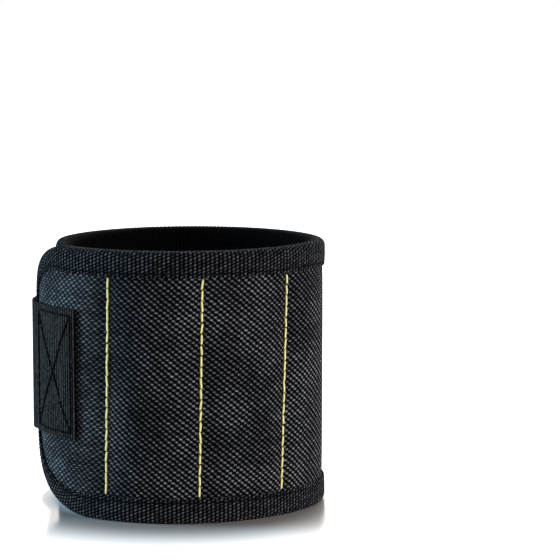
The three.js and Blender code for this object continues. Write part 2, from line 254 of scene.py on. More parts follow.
class Wire:
    """A value in a material's nodes, so that sums in a shader read as sums."""

    def __init__(self, finish, socket):
        self.finish = finish
        self.socket = socket

    def math(self, operation, *others):
        return self.finish.math(operation, self, *others)

    def __add__(self, other):
        return self.math("ADD", other)

    def __sub__(self, other):
        return self.math("SUBTRACT", other)

    def __rsub__(self, other):
        return self.finish.math("SUBTRACT", other, self)

    def __mul__(self, other):
        return self.math("MULTIPLY", other)

    def __truediv__(self, other):
        return self.math("DIVIDE", other)

    def __pow__(self, other):
        return self.math("POWER", other)

    __radd__ = __add__
    __rmul__ = __mul__


class Finish:
    """The nodes of one material, or of the world."""

    def __init__(self, name, kind=bpy.data.materials):
        self.owner = kind.new(name)
        self.owner.use_nodes = True
        self.tree = self.owner.node_tree
        self.tree.nodes.clear()

    def node(self, kind, settings=(), sockets=(), output=0):
        made = self.tree.nodes.new(kind)
        for name, value in dict(settings).items():
            setattr(made, name, value)
        for name, value in dict(sockets).items():
            if isinstance(value, Wire):
                self.tree.links.new(value.socket, made.inputs[name])
            else:
                made.inputs[name].default_value = value
        return Wire(self, made.outputs[output]) if made.outputs else None

    def math(self, operation, *values):
        return self.node("ShaderNodeMath", {"operation": operation}, enumerate(values))

    def mix(self, share, first, second):
        return self.node("ShaderNodeMix", {"data_type": "RGBA"}, {0: share, 6: first, 7: second}, 2)

    def rise(self, value, low, high):
        settings = {"interpolation_type": "SMOOTHSTEP"}
        return self.node("ShaderNodeMapRange", settings, {0: value, 1: low, 2: high})

    def cell(self, value):
        """How far a value lies from the middle between two whole numbers."""
        return value.math("FRACT") - 0.5

    def oval(self, x, y, length, width):
        """Nought in the middle of an oval and one on its edge."""
        return (x / length) ** 2 + (y / width) ** 2

    def within(self, oval, softness):
        """One inside an oval, and falling to nought towards its edge."""
        return self.rise(1 - oval, 0, softness)

    def parts(self, vector):
        first = self.node("ShaderNodeSeparateXYZ", (), {0: vector})
        return first, Wire(self, first.socket.node.outputs[1])

    def place(self):
        return self.node("ShaderNodeTexCoord", output="Object")

    def flat(self):
        """The place on the flat cloth, then its distance along and across in millimetres."""
        place = self.node("ShaderNodeUVMap", {"uv_map": "flat"})
        along, across = self.parts(place)
        return place, along / MM, across / MM

    def seen(self):
        """One where the camera, a gloss or a clear piece looks, and nought where light only bounces."""
        kinds = ("Is Camera Ray", "Is Glossy Ray", "Is Transmission Ray")
        camera, glossy, clear = [self.node("ShaderNodeLightPath", output=kind) for kind in kinds]
        return camera.math("MAXIMUM", glossy).math("MAXIMUM", clear)

    def noise(self, place, scale, detail):
        return self.node("ShaderNodeTexNoise", (), {"Vector": place, "Scale": scale, "Detail": detail})

    def chance(self, number):
        return self.node("ShaderNodeTexWhiteNoise", {"noise_dimensions": "1D"}, {"W": number})

    def bump(self, height, depth, strength):
        """Fine relief, with its depth in millimetres."""
        sockets = {"Height": height, "Distance": depth * MM, "Strength": strength}
        return self.node("ShaderNodeBump", (), sockets)

    def surface(self, color, rough, gloss=0.5, **sockets):
        sockets |= {"Base_Color": color, "Roughness": rough, "Specular_IOR_Level": gloss}
        named = {name.replace("_", " "): value for name, value in sockets.items()}
        return self.done(self.node("ShaderNodeBsdfPrincipled", (), named))

    def done(self, shader, output="ShaderNodeOutputMaterial"):
        self.node(output, (), {"Surface": shader})
        return self.owner


# Finishes. Sizes on the flat cloth are in millimetres here, and noises in waves to the metre.
black = (0, 0, 0, 1)
white = (1, 1, 1, 1)
cloth_gloss = 0.015
lining_gloss = 0.02
line_gloss = 0.2
hook_gloss = 0.3
loop_gloss = 0.1
loop_sheen = 0.1

# Shell cloth. The light colours of the floats are a painted highlight, and the near-black ground in the
# holes is painted shade.
float_pitch = 2.43
float_length = 0.54
float_width = 0.3
float_slant = 0.1
weave_row = 0.9
weave_skew = 0.17
row_wander = 0.5
float_wander = 0.9
row_numbers = 31
hole_length = 0.78
hole_width = 0.45
hole_slant = 0.2
link_length = 0.55
link_width = 0.26
shell_hole_shade = (0.0008, 0.0008, 0.001, 1)
shell_dull = (0.06, 0.063, 0.069, 1)
shell_float_highlight = (0.36, 0.372, 0.4, 1)

# How the weave tightens on the flap, with painted sheen there: a lighter ground and fewer dark holes
flap_weave_and_sheen_until = (36, 58)
tight_longer = 0.15
tight_thinner = 0.09
tight_slant = 0.1
flap_sheen_holes = 1.1
tight_links = 0.7
flap_sheen_ground = 0.06


def shell_cloth():
    """Coarse plain weave: floats with a painted highlight, holes in painted shade, and links between rows,
    all tighter on the flap, which also has painted sheen.
    """
    look = Finish("shell_cloth")
    place, span, level = look.flat()
    height = level + look.noise(place, 220, 1) * row_wander
    along = span + look.noise(place, 310, 1) * float_wander
    flap_weave_and_sheen = 1 - look.rise(span, *flap_weave_and_sheen_until)
    row = (height / weave_row).math("FLOOR")
    shifted = (along - height * weave_skew) / float_pitch + row * 0.5
    number = shifted.math("FLOOR") + row * row_numbers
    x = look.cell(shifted) * float_pitch
    apart = look.cell(shifted + 0.5) * float_pitch
    z = look.cell(height / weave_row) * weave_row

    length = float_length + flap_weave_and_sheen * tight_longer
    width = float_width - flap_weave_and_sheen * tight_thinner
    size = 0.8 + look.chance(number + 0.5) * 0.4
    slanted = z - x * (float_slant + flap_weave_and_sheen * tight_slant)
    float_on = look.within(look.oval(x, slanted, length, width) / size, 0.6)
    hole = look.oval(apart, z - apart * hole_slant, hole_length, hole_width)
    # Painted sheen on the flap closes up the dark holes.
    hole_on = look.within(hole * (1 + flap_weave_and_sheen * flap_sheen_holes), 0.5)
    beside = x * z.math("SIGN") + float_pitch / 4
    above = z.math("ABSOLUTE") - weave_row / 2
    link_on = look.within(look.oval(beside, above, link_length, link_width), 0.8)
    link = link_on * (0.2 + look.chance(number + 0.25) * 0.3) * (1 - flap_weave_and_sheen * tight_links)
    # Painted sheen on the flap lifts the ground.
    dull = 0.03 + flap_weave_and_sheen * flap_sheen_ground + link
    relief = float_on.math("MAXIMUM", dull) * (1 - hole_on)

    yarn = look.chance(row) * 0.25 + look.chance(number) * 0.6
    tone = yarn + look.noise(place, 28, 3) * 0.5
    worn = 0.5 + look.rise(look.noise(place, 48, 2), 0.36, 0.62) * 0.5
    # Painted highlight and shade: the relief mixes from the holes' painted shade up to the floats' painted
    # highlight.
    color = look.mix(relief * worn, shell_hole_shade, look.mix(tone, shell_dull, shell_float_highlight))
    normal = look.bump(relief, 0.3, 0.8)
    return look.surface(color, 0.8 - relief * 0.25, cloth_gloss, Normal=normal)


# Binding tape
bead_step = 1.12
bead_slant = 0.45
bead_length = 0.56
bead_width = 0.46
rib_numbers = 17
# Where painted shade falls on the leg inside the loop, across the tape in millimetres
shaded_inner_leg = (10, 13)
tape_ground = (0.001, 0.001, 0.0013, 1)
tape_light = (0.12, 0.125, 0.138, 1)


def binding_tape():
    """Ribbed tape: a cord of slanted beads on each rib, with painted shade on the leg inside the loop,
    which is much darker.
    """
    look = Finish("binding_tape")
    along, across = look.flat()[1:]
    pitch = tape_rib / MM
    rib = along / pitch
    count = rib.math("FLOOR")
    side = look.cell(rib) * pitch
    bead = (across + side * bead_slant) / bead_step + count * 0.5
    rest = look.cell(bead) * bead_step
    relief = look.within(look.oval(side, rest, bead_length, bead_width), 0.9)
    chosen = look.chance(count + bead.math("FLOOR") * rib_numbers)
    # Painted shade: the beads fade nearly to the ground on the leg inside the loop.
    outside = 1 - look.rise(across, *shaded_inner_leg) * 0.96
    fleck = relief * (0.25 + chosen * 0.75) * outside
    color = look.mix(fleck, tape_ground, tape_light)
    normal = look.bump(relief, 0.25, 0.8)
    return look.surface(color, 0.8 - fleck * 0.25, cloth_gloss, Normal=normal)


# Strap webbing
knot_step = 0.77
strap_rib_shade = (0.0014, 0.0014, 0.0014, 1)
strap_crest_highlight = (0.079, 0.075, 0.072, 1)


def strap_webbing():
    """Ribbed webbing: a thin light crest on each rib as a painted highlight, knotted along it, over rib
    bottoms in painted shade.
    """
    look = Finish("strap_webbing")
    place, along, across = look.flat()
    rib = along / (strap_pitch / MM)
    crest = (rib * math.pi).math("SINE").math("ABSOLUTE")
    count = rib.math("FLOOR")
    step = across / knot_step + count * 0.5
    knot = (step * math.pi).math("SINE").math("ABSOLUTE")
    chosen = look.chance(count + step.math("FLOOR") * rib_numbers)
    uneven = 0.2 + look.noise(place, 90, 3) * 0.6 + chosen * 0.8
    # Painted highlight on the rib crests and painted shade in the rib bottoms; the knots and unevenness are
    # the yarn's own.
    fleck = look.rise(crest, 0.35, 1) * (0.15 + knot * 0.85) * uneven
    color = look.mix(fleck, strap_rib_shade, strap_crest_highlight)
    normal = look.bump(crest * (0.6 + knot * 0.4), 0.25, 0.8)
    return look.surface(color, 0.85 - fleck * 0.2, cloth_gloss, Normal=normal)


# Lining mesh
mesh_pitch = 2.6
mesh_row = 2.1
mesh_hole_length = 0.95
mesh_hole_width = 0.8
knit_along = 4.1
knit_up = 5.3
lining_light = (0.026, 0.0255, 0.028, 1)
lining_dark = (0.005, 0.005, 0.0055, 1)


def lining_mesh():
    """Knitted spacer mesh: staggered rows of small dark holes."""
    look = Finish("lining_mesh")
    along, height = look.flat()[1:]
    row = (height / mesh_row).math("FLOOR")
    x = look.cell(along / mesh_pitch + row * 0.5) * mesh_pitch
    y = look.cell(height / mesh_row) * mesh_row
    hole = 1 - look.rise(look.oval(x, y, mesh_hole_length, mesh_hole_width), 0.35, 1)
    knit = (along * knit_along).math("SINE") * (height * knit_up).math("SINE") * 0.5 + 0.5
    color = look.mix(hole, lining_light, lining_dark)
    normal = look.bump((1 - hole) + knit * 0.25, 0.4, 0.9)
    return look.surface(color, 0.95, lining_gloss, Normal=normal)


# Threads. Each has the colours of its flanks, in painted shade, and of the dark and light of its plies. The
# yellow one has a painted glow on its crown, though it is no lamp.
ply_along = 1.1
ply_around = 1.6
crown_range = (1.9, 2.7)
line_colors = (0.3, 0.26, 0.01, 1), (0.95, 0.87, 0.3, 1), (1, 0.99, 0.62, 1)
# Painted glow of the yellow thread's crown
line_painted_glow = (0.17, 0.12, 0.015, 1)
seam_colors = (0.001, 0.001, 0.001, 1), (0.001, 0.001, 0.0012, 1), (0.005, 0.005, 0.006, 1)


def thread(name, radius, colors, gloss, glow=black):
    """Twisted thread: plies wind round each stitch, with a painted highlight on its crown and painted shade
    down its flanks.
    """
    flank, dark, light = colors
    look = Finish(name)
    place, along, around = look.flat()
    ply = ((along * ply_along + around * ply_around) * math.pi).math("SINE").math("ABSOLUTE")
    cloud = look.noise(place, 260, 2)
    # Painted highlight on the crown and painted shade down the flanks, by the angle round the stitch
    crown = look.rise(around.math("ABSOLUTE") / (radius / MM), *crown_range)
    worn = look.mix(look.rise(ply, 0.1, 0.7) * (0.6 + cloud * 0.6), dark, light)
    # The emission is a painted glow, on the crown only.
    return look.surface(
        look.mix(crown, flank, worn), 0.6, gloss, Normal=look.bump(ply, 0.12, 0.6),
        Emission_Color=look.mix(crown, black, glow), Emission_Strength=1)


# Foam, plating, and hook and loop tape
foam_cells = 1800
foam_light = (0.05, 0.05, 0.053, 1)
foam_dark = (0.02, 0.02, 0.022, 1)
plating_dull = (0.5, 0.51, 0.52, 1)
plating_bright = (0.62, 0.62, 0.61, 1)
hook_dark = (0.008, 0.008, 0.009, 1)
hook_light = (0.026, 0.026, 0.028, 1)
loop_dark = (0.006, 0.006, 0.007, 1)
loop_light = (0.036, 0.036, 0.039, 1)


def foam():
    look = Finish("foam")
    cells = look.node("ShaderNodeTexVoronoi", (), {"Vector": look.place(), "Scale": foam_cells})
    color = look.mix(cells * 1.2, foam_light, foam_dark)
    return look.surface(color, 0.9, Normal=look.bump(1 - cells, 0.15, 0.6))


def magnet_plating():
    look = Finish("magnet_plating")
    place = look.place()
    grain = look.noise(place, 900, 4)
    smudge = look.noise(place, 70, 3)
    color = look.mix(smudge, plating_dull, plating_bright)
    normal = look.bump(grain, 0.02, 0.4)
    return look.surface(color, 0.18 + smudge * 0.2, Normal=normal, Metallic=1)


def hook_tape():
    look = Finish("hook_tape")
    grain = look.noise(look.place(), 1500, 2)
    color = look.mix(grain, hook_dark, hook_light)
    return look.surface(color, 0.45, hook_gloss, Normal=look.bump(grain, 0.08, 0.5))


def loop_tape():
    look = Finish("loop_tape")
    fuzz = look.noise(look.place(), 1300, 4)
    color = look.mix(fuzz, loop_dark, loop_light)
    normal = look.bump(fuzz, 0.3, 0.7)
    return look.surface(color, 0.9, loop_gloss, Normal=normal, Sheen_Weight=loop_sheen)


# Floor. Distances on it are shares of the band's half sizes.
floor_size = 3
floor_color = (0.96, 0.89, 0.85, 1)
floor_roughness = 0.18
floor_mirror = 0.7
floor_lift = 0.85
lift_from = 0.05
mirror_from = -0.2
mirror_reach = 0.95
image_left = 0.84
image_right = 0.98
image_fade = 12
band_edge = (-0.08, 0.02)


def make_floor():
    """A white floor that keeps the shadow and, near what stands on it, a soft image of it."""
    bpy.ops.mesh.primitive_plane_add(size=floor_size)
    floor = bpy.context.object
    floor.name = "floor"
    look = Finish("floor_white")
    x, y = look.parts(look.place())
    low, high = cad_box
    ring = look.oval(x, y, high.x, high.y).math("SQRT") - 1
    mirror = floor_mirror * look.rise(ring, mirror_from, 0) * (1 - look.rise(ring, 0, mirror_reach))
    beside = (x / high.x - image_right).math("MAXIMUM", x / low.x - image_left).math("MAXIMUM", 0)
    past = ring + beside * look.rise(ring, *band_edge) * image_fade
    lift = floor_lift * look.rise(past, lift_from, mirror_reach) * look.seen()
    floor.data.materials.append(look.surface(
        floor_color, floor_roughness, 0, Metallic=mirror,
        Emission_Color=look.mix(lift, black, white), Emission_Strength=1))


# Light: the place, size, power and colour of each lamp
ambient = 0.08
lamp_target = Vector((0, 0, 0.05))
lamps = {
    "left": ((-1.1, 0.1, 0.35), 0.4, 17, (0.45, 0.77, 1)),
    "right": ((1.03, -0.6, 0.45), 0.6, 10.6, (1, 1, 1)),
    "rear": ((0.3, 1.0, 0.8), 0.8, 9, (1, 1, 1)),
}


def make_light():
    sky = Finish("studio", bpy.data.worlds)
    strength = ambient + (1 - ambient) * sky.seen()
    glow = sky.node("ShaderNodeBackground", (), {"Color": white, "Strength": strength})
    bpy.context.scene.world = sky.done(glow, "ShaderNodeOutputWorld")
    bpy.context.scene.view_settings.view_transform = "Standard"
    for name, (place, size, power, color) in lamps.items():
        data = bpy.data.lights.new(name, "AREA")
        data.energy = power
        data.size = size
        data.color = color
        lamp = bpy.data.objects.new(name, data)
        lamp.location = place
        lamp.rotation_euler = (lamp_target - Vector(place)).to_track_quat("-Z", "Y").to_euler()
        bpy.context.scene.collection.objects.link(lamp)


# Modelling steps
def select_only(obj):
    bpy.ops.object.select_all(action="DESELECT")
    obj.select_set(True)
    bpy.context.view_layer.objects.active = obj


def apply_modifier(obj, kind, **settings):
    modifier = obj.modifiers.new(kind.lower(), kind)
    for name, value in settings.items():
        setattr(modifier, name, value)
    select_only(obj)
    bpy.ops.object.modifier_apply(modifier=modifier.name)


def thicken(obj, thickness):
    apply_modifier(obj, "SOLIDIFY", thickness=thickness, offset=-1)


def repeat(obj, count, offset, **settings):
    apply_modifier(
        obj, "ARRAY", count=count, use_relative_offset=False, use_constant_offset=True,
        constant_offset_displace=offset, **settings)


def ease_edges(obj, degrees):
    apply_modifier(
        obj, "BEVEL", width=edge_ease, segments=2, limit_method="ANGLE", angle_limit=math.radians(degrees))


def fix_place(obj):
    select_only(obj)
    bpy.ops.object.transform_apply()


def copy_of(obj, name):
    copy = obj.copy()
    copy.data = obj.data.copy()
    copy.name = name
    bpy.context.scene.collection.objects.link(copy)
    return copy


def remove(*objs):
    for obj in objs:
        bpy.data.objects.remove(obj)


def edit_all(obj):
    select_only(obj)
    bpy.ops.object.mode_set(mode="EDIT")
    bpy.ops.mesh.select_mode(type="VERT")
    bpy.ops.mesh.select_all(action="SELECT")


def end_edit():
    bpy.ops.object.mode_set(mode="OBJECT")


def edit_some(obj, kind, parts, test):
    """Opens an object for editing with the points or faces that a test picks."""
    edit_all(obj)
    bpy.ops.mesh.select_mode(type=kind)
    bpy.ops.mesh.select_all(action="DESELECT")
    end_edit()
    for part in getattr(obj.data, parts):
        part.select = test(part)
    bpy.ops.object.mode_set(mode="EDIT")


def edit_points(obj, test):
    edit_some(obj, "VERT", "vertices", lambda point: test(point.co))


def edit_faces(obj, test):
    edit_some(obj, "FACE", "polygons", test)


def move_points(obj, test, offset):
    edit_points(obj, test)
    bpy.ops.transform.translate(value=offset)
    end_edit()


def face_inwards(obj, share, depth):
    """Turns a flat piece to face the inside, with a share of its relief, and sets it at a depth."""
    edit_all(obj)
    bpy.ops.transform.resize(value=(1, -share, 1), center_override=(0, 0, 0))
    bpy.ops.transform.translate(value=(0, depth, 0))
    bpy.ops.mesh.flip_normals()
    end_edit()


def cut(obj, point, normal, clear=True, fill=False):
    """Cuts along a plane, and takes away what lies past it."""
    edit_all(obj)
    bpy.ops.mesh.bisect(plane_co=point, plane_no=normal, clear_outer=clear, use_fill=fill)
    end_edit()


def round_corner(obj, centre, radius, ahead, up):
    for step in range(corner_cuts + 1):
        angle = math.pi / 2 * step / corner_cuts
        out = Vector((-ahead * math.sin(angle), 0, up * math.cos(angle)))
        cut(obj, centre + out * radius, out)


def join(objs, name):
    """Joins pieces, each at its own place, into the first one."""
    fix_place(objs[0])
    bpy.context.view_layer.update()
    bpy.ops.object.select_all(action="DESELECT")
    for obj in objs:
        obj.select_set(True)
    bpy.context.view_layer.objects.active = objs[0]
    bpy.ops.object.join()
    objs[0].name = name
    return objs[0]


def flat_grid(name, left, right, lower, upper, columns, rows):
    middle = ((left + right) / 2, 0, (lower + upper) / 2)
    bpy.ops.mesh.primitive_grid_add(
        x_subdivisions=columns, y_subdivisions=rows, size=1, location=middle, rotation=(math.pi / 2, 0, 0))
    grid = bpy.context.object
    grid.name = name
    grid.scale = (right - left, upper - lower, 1)
    fix_place(grid)
    return grid


def raise_rib(strip, axis, pitch, height):
    """Rounds a flat strip, cut in quarters, up into one rib with its crest in the middle of its pitch."""
    for quarter, rise in ((1, rib_shoulder), (2, 1), (3, rib_shoulder)):
        move_points(strip, lambda spot: round(spot[axis] / pitch * 4, 1) == quarter, (0, -rise * height, 0))


def mark_flat(obj, along=0, across=2):
    """Writes the flat place of every corner, along and across, for the finishes."""
    layer = obj.data.uv_layers.get("flat") or obj.data.uv_layers.new(name="flat")
    for loop in obj.data.loops:
        spot = obj.data.vertices[loop.vertex_index].co
        layer.data[loop.index].uv = (spot[along], spot[across])


def soften(obj, degrees):
    select_only(obj)
    bpy.ops.object.shade_smooth_by_angle(angle=math.radians(degrees))


# Paths that flat pieces are bent along
def make_path(name, points):
    curve = bpy.data.curves.new(name, "CURVE")
    curve.dimensions = "2D"
    spline = curve.splines.new("POLY")
    spline.points.add(len(points) - 1)
    for spot, (x, y) in zip(spline.points, points):
        spot.co = (x, y, 0, 1)
    path = bpy.data.objects.new(name, curve)
    bpy.context.scene.collection.objects.link(path)
    return path


def spaced(start, end, step):
    count = max(1, math.ceil(abs(end - start) / step))
    return [start + (end - start) * place / count for place in range(count + 1)]


def arc(centre, radius, start, end, step):
    turns = spaced(start, end, step / radius)
    return [(centre[0] + radius * math.cos(turn), centre[1] + radius * math.sin(turn)) for turn in turns]


def path_length(points):
    return sum(math.dist(a, b) for a, b in zip(points, points[1:]))


def outward_of(heading):
    return Vector((math.sin(heading), -math.cos(heading)))


front_reach = (front_radius - side_radius) * math.cos(front_blend)
back_radius = side_radius + (front_reach - layer_pitch / 2) / math.cos(back_blend)
plan_arcs = [
    (side_radius, front_blend),
    (front_radius, math.pi - 2 * front_blend),
    (side_radius, front_blend),
    (side_radius, back_blend),
    (back_radius, math.pi - 2 * back_blend),
    (side_radius, back_blend),
    (side_radius - layer_pitch, front_blend),
    (front_radius - layer_pitch, front_blend),
]
left_end = sum(radius * sweep for radius, sweep in plan_arcs[:6])
band_length = left_end + tuck_length
tail_end = left_end - tail_length
tip_end = tail_end - tip_length


def walk_arcs():
    """Start, radius, heading and centre of each arc of the plan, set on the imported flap."""
    low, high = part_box("binding_flap")
    start = Vector((low.x + tape_outer, high.y))
    heading = -math.pi / 2
    legs = []
    done = 0
    centre = start - outward_of(heading) * plan_arcs[0][0]
    for place, (radius, sweep) in enumerate(plan_arcs):
        legs.append((done, radius, heading, centre))
        done += radius * sweep
        heading += sweep
        after = plan_arcs[min(place + 1, len(plan_arcs) - 1)][0]
        centre = centre + outward_of(heading) * (radius - after)
    return legs


plan_legs = walk_arcs()


def plan_point(along, depth):
    start, radius, heading, centre = [leg for leg in plan_legs if leg[0] <= max(along, 0)][-1]
    return centre + outward_of(heading + (along - start) / radius) * (radius + depth)


def smooth(value, low, high):
    share = min(1, max(0, (value - low) / (high - low)))
    return share * share * (3 - 2 * share)


def strap_depth(along):
    """Depth of the strap's outer face over the band's skin, on the root or on the back."""
    if along < tip_end:
        down = smooth(along, root_step_from, root_step_from + root_step)
        hem = hem_thickness * smooth(along, root_length - root_hem - hem_ramp, root_length - root_hem)
        return root_over_tape + (root_on_shell - root_over_tape) * down + hem + strap_thickness
    down = smooth(left_end - along, 0, tail_length)
    hem = hem_thickness * (1 - smooth(along, tip_end + tip_hem, tip_end + tip_hem + hem_ramp))
    over_tape = layer_pitch + root_over_tape
    return over_tape + (tip_depth - over_tape) * down + hem + strap_thickness


plan_path = make_path("plan", [plan_point(along, 0) for along in spaced(0, band_length, path_step)])
strap_stops = spaced(tip_end, left_end, path_step)[:-1] + spaced(0, root_length, path_step)
strap_points = [plan_point(along, strap_depth(along) - rib_height) for along in strap_stops]
strap_path = make_path("strap", strap_points)
strap_length = path_length(strap_points)
strap_ribs = round(strap_length / strap_rib)
strap_pitch = strap_length / strap_ribs


def wrap(obj, path=plan_path):
    apply_modifier(obj, "CURVE", object=path, deform_axis="POS_X")


def turn(obj, rotation):
    obj.rotation_mode = "QUATERNION"
    obj.rotation_quaternion = rotation
    fix_place(obj)
    obj.rotation_mode = "XYZ"


half_root = math.sqrt(0.5)
lay_flat_to_stand = (half_root, half_root, 0, 0)
stand_to_lay_flat = (half_root, -half_root, 0, 0)
section_to_run = (0.5, 0.5, 0.5, 0.5)


# Rest places on the plan; pieces at the folds have their placing baked in, and the back's pieces are
# attached to it
def at_rest(along):
    spot = plan_point(along, 0)
    return (spot.x, spot.y, 0)


def ends_of(fold):
    return at_rest(fold - fold_reach), at_rest(fold + fold_reach)


def bend_at_flap(obj):
    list(ends_of(flap_fold))
    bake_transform(obj)


def bend_at_back(obj):
    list(ends_of(back_fold))
    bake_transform(obj)


def ride_back(obj):
    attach(obj, "back_panel")


finishes = {
    "shell_cloth": shell_cloth(),
    "binding_tape": binding_tape(),
    "strap_webbing": strap_webbing(),
    "lining_mesh": lining_mesh(),
    "line_thread": thread("line_thread", thread_radius, line_colors, line_gloss, line_painted_glow),
    "seam_thread": thread("seam_thread", seam_radius, seam_colors, cloth_gloss),
    "foam": foam(),
    "magnet_plating": magnet_plating(),
    "hook_tape": hook_tape(),
    "loop_tape": loop_tape(),
}


def dress(obj, slot):
    obj.data.materials.clear()
    obj.data.materials.append(finishes[slot])


def lay(obj, slot, degrees, path=plan_path):
    """Bends a flat piece to its place and gives it its finish."""
    wrap(obj, path)
    soften(obj, degrees)
    dress(obj, slot)


# Band layers: one quilted sheet gives the shell and the lining. Each corner of the outline has its end of
# the band, the way inwards from there, its radius, and 1 above or -1 below.
corners = [
    (0, 1, flap_top_radius, 1),
    (0, 1, flap_bottom_radius, -1),
    (band_length, -1, inner_end_radius, 1),
    (band_length, -1, inner_end_radius, -1),
]


def corner_centre(end, ahead, radius, up):
    return Vector((end + ahead * radius, 0, band_height - radius if up > 0 else radius))


def trim_outline(obj, inset):
    """Trims a sheet to the band's outline, round corners included."""
    for end, ahead, radius, up in corners:
        low = min(point.co.x for point in obj.data.vertices)
        high = max(point.co.x for point in obj.data.vertices)
        if low - radius < end < high + radius:
            round_corner(obj, corner_centre(end, ahead, radius, up), radius - inset, ahead, up)


def edge_room(x, z):
    """How far a place of the flat pattern lies inside its outline."""
    for end, ahead, radius, up in corners:
        centre = corner_centre(end, ahead, radius, up)
        if (x - centre.x) * ahead < 0 and (z - centre.z) * up > 0:
            return radius - math.hypot(x - centre.x, z - centre.z)
    return min(x, band_length - x, z, band_height - z)


def on_line(x):
    return any(abs(x - line) < square / 4 for line in lines)


def swell(sheet):
    """Swells a sheet that is sewn down along the lines and under the binding."""
    rest = [point.co.copy() for point in sheet.data.vertices]
    sewn = [place for place, spot in enumerate(rest)
            if on_line(spot.x) or edge_room(spot.x, spot.z) < tape_leg - sewn_margin]
    sheet.vertex_groups.new(name="sewn").add(sewn, 1, "REPLACE")
    cloth = sheet.modifiers.new("cloth", "CLOTH")
    cloth.settings.quality = quilt_quality
    cloth.settings.use_pressure = True
    cloth.settings.uniform_pressure_force = quilt_pressure
    cloth.settings.vertex_group_mass = "sewn"
    cloth.settings.effector_weights.gravity = 0
    cloth.point_cache.frame_start = 1
    cloth.point_cache.frame_end = quilt_frames
    for number in range(1, quilt_frames + 1):
        bpy.context.scene.frame_set(number)
    select_only(sheet)
    bpy.ops.object.modifier_apply(modifier=cloth.name)
    for point, start in zip(sheet.data.vertices, rest):
        moved = point.co - start
        point.co = start + moved * min(1, quilt_cap / max(moved.length, 1e-9))
    bpy.context.scene.frame_set(1)


def make_quilt():
    """The flat sheet, in squares that keep to the lines and their stitches, sunk along the lines."""
    start = first_line - squares_on_flap * square
    columns = math.ceil((band_length - edge_inset - start) / square)
    half_step = stitch_step / 2
    foot = line_foot - rows_past_line * half_step
    rows = 2 * line_stitches + 2 * rows_past_line
    end = start + columns * square
    sheet = flat_grid("quilt", start, end, foot, foot + rows * half_step, columns, rows)
    trim_outline(sheet, edge_inset)
    low = line_foot - channel_overrun
    move_points(
        sheet, lambda spot: on_line(spot.x) and low < spot.z < band_height - low, (0, channel_depth, 0))
    swell(sheet)
    apply_modifier(sheet, "SUBSURF", levels=2, render_levels=2)
    return sheet


line_stops = [0, *lines, band_length]
lean_values = [0, *line_lean, 0]
shift_values = [0, *line_shift, 0]


def lean_at(along, height):
    """How far a stitched line, or cloth between two lines, leans off its place at a height."""
    place = bisect.bisect_left(line_stops, along)
    near, far = line_stops[place - 1], line_stops[place]
    share = (along - near) / (far - near)
    lean, shift = [values[place - 1] + (values[place] - values[place - 1]) * share
                   for values in (lean_values, shift_values)]
    return shift + lean * (height / band_height - 0.5)


def span_of(sheet, name, start, end):
    part = copy_of(sheet, name)
    if start > 0:
        cut(part, (start, 0, 0), (-1, 0, 0))
    if end < band_length:
        cut(part, (end, 0, 0), (1, 0, 0))
    for point in part.data.vertices:
        point.co.x += lean_at(point.co.x, point.co.z)
    return part


spans = [
    ("front_left", 0, left_cut, bend_at_flap, ("flap", "front")),
    ("front_right", left_cut, rear_cut, bend_at_back, ("front", "back")),
    ("rear", rear_cut, band_length, ride_back, ("back",)),
]


def make_shell(quilt):
    for name, start, end, move, nodes in spans:
        shell = span_of(quilt, f"shell_{name}", start, end)
        mark_flat(shell)
        thicken(shell, shell_thickness)
        lay(shell, "shell_cloth", cloth_angle)
        move(shell)
        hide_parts(*[f"shell_{node}" for node in nodes])


def make_lining(quilt):
    for name, start, end, move, nodes in spans:
        lining = span_of(quilt, f"lining_{name}", start, end)
        face_inwards(lining, lining_swell, lining_depth)
        mark_flat(lining)
        flat = (band_height, end - start)
        area = min(sum(face.area for face in lining.data.polygons), flat[0] * flat[1])
        thicken(lining, lining_thickness)
        lay(lining, "lining_mesh", cloth_angle)
        move(lining)
        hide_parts(*[f"lining_{node}" for node in nodes])


# Foam pads with windows for the magnets
magnet_columns = [line - line_pitch / 2 for line in lines[1:]]
magnet_rows = [band_height / 2 + place * row_pitch for place in (-1, 0, 1)]


def beside_magnet(along):
    return any(abs(along - column) < window_width / 2 for column in magnet_columns)


def in_window(spot):
    return beside_magnet(spot.x) and any(abs(spot.z - height) < window_height / 2 for height in magnet_rows)


def make_foam(name, body, start, end):
    pad = flat_grid(f"foam_pad_{name}", start, end, 0, band_height, 1, 1)
    trim_outline(pad, edge_inset)
    stops = [column + side * window_width / 2 for column in magnet_columns for side in (-1, 1)]
    bends = [stop for stop in spaced(start, end, foam_step)[1:-1] if not beside_magnet(stop)]
    for stop in stops + bends:
        if start < stop < end:
            cut(pad, (stop, 0, 0), (1, 0, 0), clear=False)
    for height in magnet_rows:
        for side in (-1, 1):
            cut(pad, (0, 0, height + side * window_height / 2), (0, 0, 1), clear=False)
    edit_faces(pad, lambda face: in_window(face.center))
    bpy.ops.mesh.delete(type="FACE")
    bpy.ops.mesh.select_all(action="SELECT")
    bpy.ops.transform.translate(value=(0, foam_depth, 0))
    end_edit()
    thicken(pad, foam_thickness)
    ease_edges(pad, foam_ease_angle)
    lay(pad, "foam", cloth_angle)
    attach(pad, body)
    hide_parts(f"foam_{name}")


